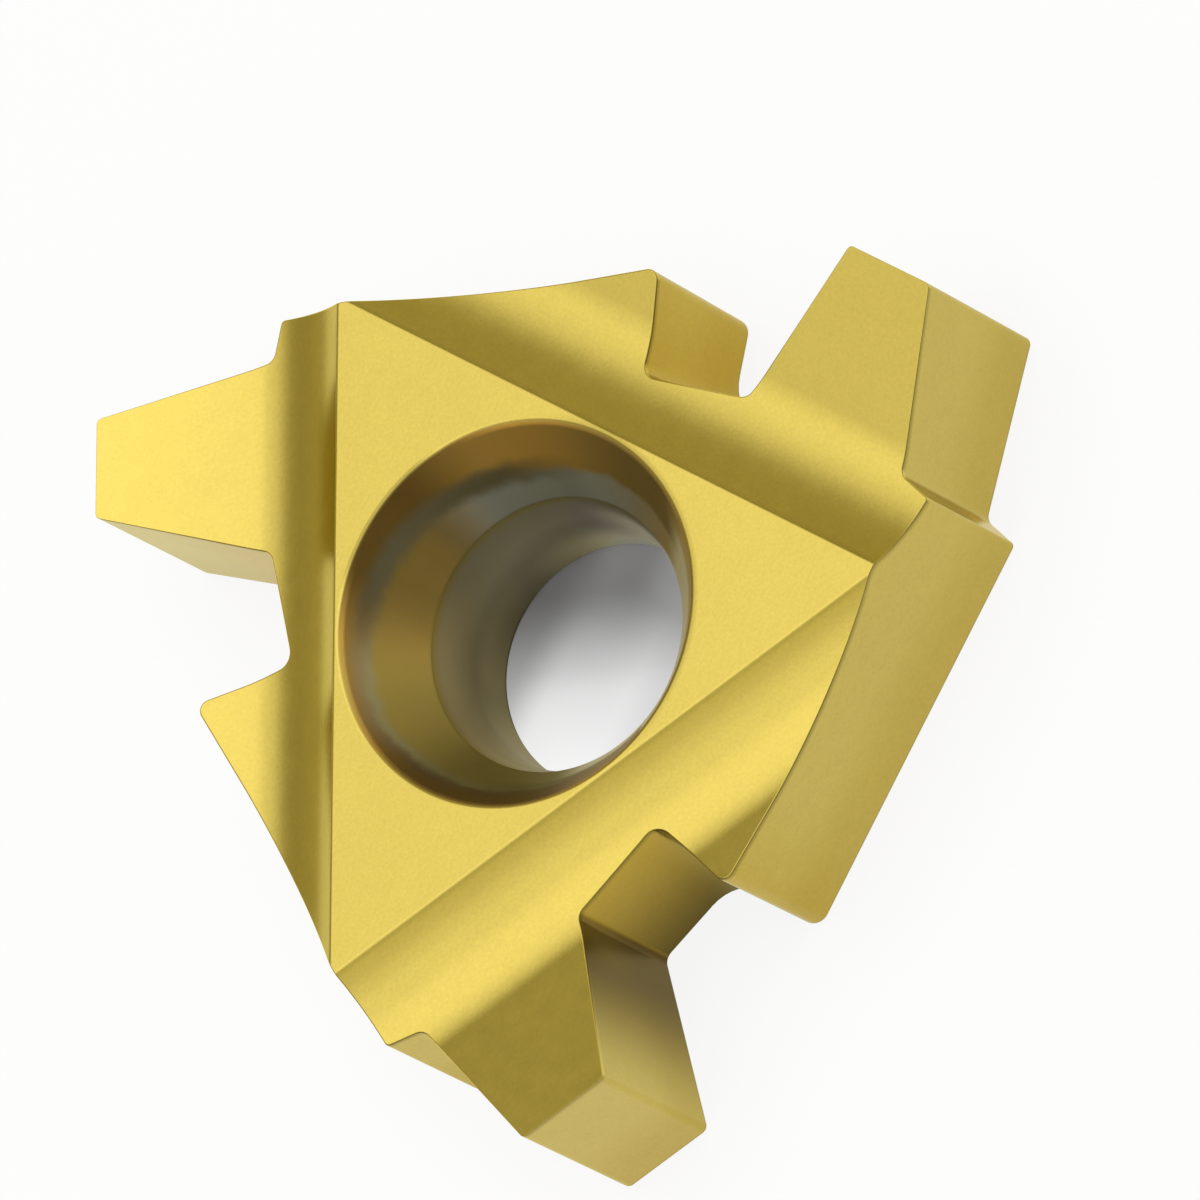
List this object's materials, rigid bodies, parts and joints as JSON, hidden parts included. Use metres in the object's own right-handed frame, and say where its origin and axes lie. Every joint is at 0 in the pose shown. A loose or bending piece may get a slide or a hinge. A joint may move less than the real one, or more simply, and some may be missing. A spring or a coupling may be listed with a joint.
{
  "type": "carbide threading insert",
  "caption": "Three-cornered lay-down carbide insert for turning trapezoidal threads, with ground chip breakers and a countersunk screw bore.",
  "frame": {"origin": "on the axis of the screw bore, at the bottom face that the insert is seated on", "axes": "+Z along the bore, from the bottom face to the cutting face; -Y square to one locating flank"},
  "size_m": [0.0171, 0.0162, 0.0042],
  "materials": {
    "coated_carbide": "satin gold titanium nitride coating over ground and sintered tungsten carbide"
  },
  "bodies": {
    "root": {"insert": "coated_carbide"}
  },
  "joints": []
}
